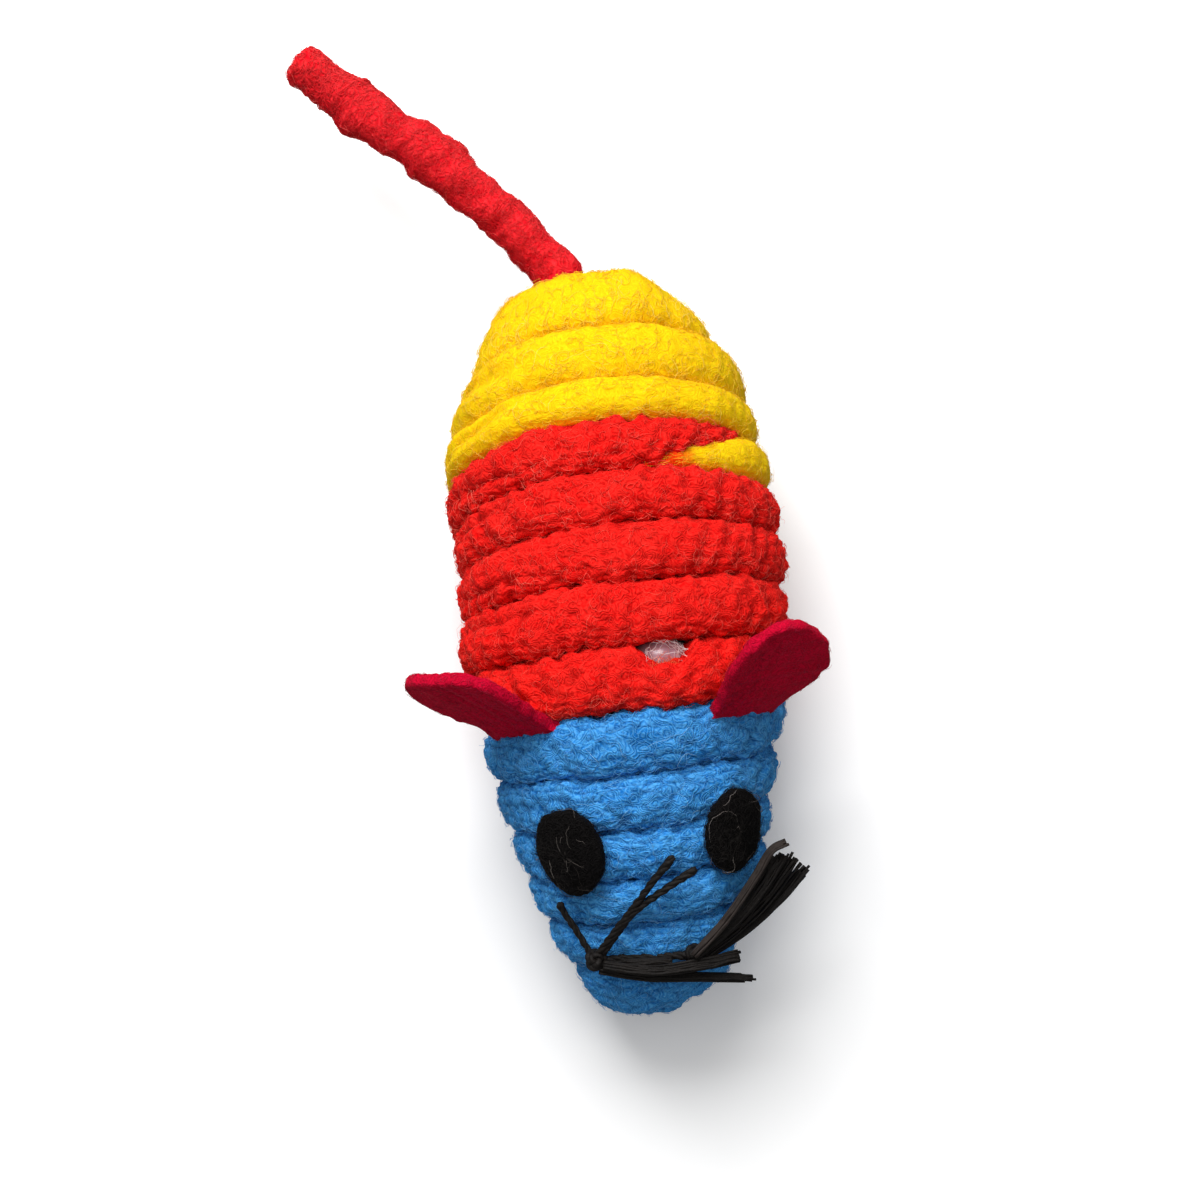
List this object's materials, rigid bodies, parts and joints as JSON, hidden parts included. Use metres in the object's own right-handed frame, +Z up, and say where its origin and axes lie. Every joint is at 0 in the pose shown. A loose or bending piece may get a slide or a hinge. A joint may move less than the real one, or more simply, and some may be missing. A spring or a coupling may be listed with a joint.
{
  "type": "cat toy",
  "caption": "Mouse of soft cord wound over a hollow rattle core, with a bending tail, folding felt ears, felt eyes and thread whiskers.",
  "frame": {"origin": "middle of the belly flat that the toy rests on", "axes": "+Z up, +Y from the nose to the tail, +X to the toy's left side seen from the nose, which is the picture's right"},
  "size_m": [0.0682, 0.1338, 0.0473],
  "materials": {
    "cord_blue": "knitted, fuzzy",
    "cord_red": "knitted, fuzzy",
    "cord_yellow": "knitted, fuzzy",
    "felt_crimson": "felt",
    "felt_black": "felt",
    "thread_black": "frayed thread",
    "glue": "set glue",
    "core": "translucent moulded",
    "bead": "moulded"
  },
  "bodies": {
    "mouse": {"blue_cord": "cord_blue", "red_cord": "cord_red", "yellow_cord": "cord_yellow", "whisker_thread": "thread_black", "core_front": "core", "core_rear": "core", "core_plug": "glue", "tail_root": "cord_red", "eye_left": "felt_black", "eye_glue_left": "glue", "eye_right": "felt_black", "eye_glue_right": "glue", "window_glue": "glue", "whisker_knot_left": "thread_black", "whisker_knot_right": "thread_black", "whisker_strand_1": "thread_black", "whisker_strand_2": "thread_black", "whisker_strand_3": "thread_black", "whisker_strand_4": "thread_black", "whisker_strand_5": "thread_black", "whisker_strand_6": "thread_black", "whisker_strand_7": "thread_black", "whisker_strand_8": "thread_black", "whisker_strand_9": "thread_black", "whisker_strand_10": "thread_black"},
    "tail_body": {"tail": "cord_red"},
    "ear_left_body": {"ear_left": "felt_crimson"},
    "ear_right_body": {"ear_right": "felt_crimson"},
    "bead_1": {"rattle_bead_1": "bead"},
    "bead_2": {"rattle_bead_2": "bead"},
    "bead_3": {"rattle_bead_3": "bead"},
    "bead_4": {"rattle_bead_4": "bead"}
  },
  "joints": [
    {"name": "tail_bend", "type": "hinge", "parent": "mouse", "child": "tail_body", "pos_m": [-0.00622, 0.04601, 0.01504], "axis": [0, 0, 1], "range_deg": [-75, 25], "stiffness_Nm_per_rad": 0.002},
    {"name": "ear_left_fold", "type": "hinge", "parent": "mouse", "child": "ear_left_body", "pos_m": [-0.01371, -0.01678, 0.03046], "axis": [0.7315, -0.1047, 0.6737], "range_deg": [-40, 40], "stiffness_Nm_per_rad": 0.0005},
    {"name": "ear_right_fold", "type": "hinge", "parent": "mouse", "child": "ear_right_body", "pos_m": [0.01419, -0.01491, 0.03174], "axis": [0.7769, 0.084, -0.624], "range_deg": [-25, 50], "stiffness_Nm_per_rad": 0.0005},
    {"name": "bead_1_roll", "type": "slide", "parent": "mouse", "child": "bead_1", "axis": [0, 1, 0], "range_m": [0, 0.018]},
    {"name": "bead_2_roll", "type": "slide", "parent": "mouse", "child": "bead_2", "axis": [0, 1, 0], "range_m": [-0.0117, 0.0063]},
    {"name": "bead_3_roll", "type": "slide", "parent": "mouse", "child": "bead_3", "axis": [0, 1, 0], "range_m": [-0.0036, 0.0144]},
    {"name": "bead_4_roll", "type": "slide", "parent": "mouse", "child": "bead_4", "axis": [0, 1, 0], "range_m": [-0.018, 0]}
  ]
}
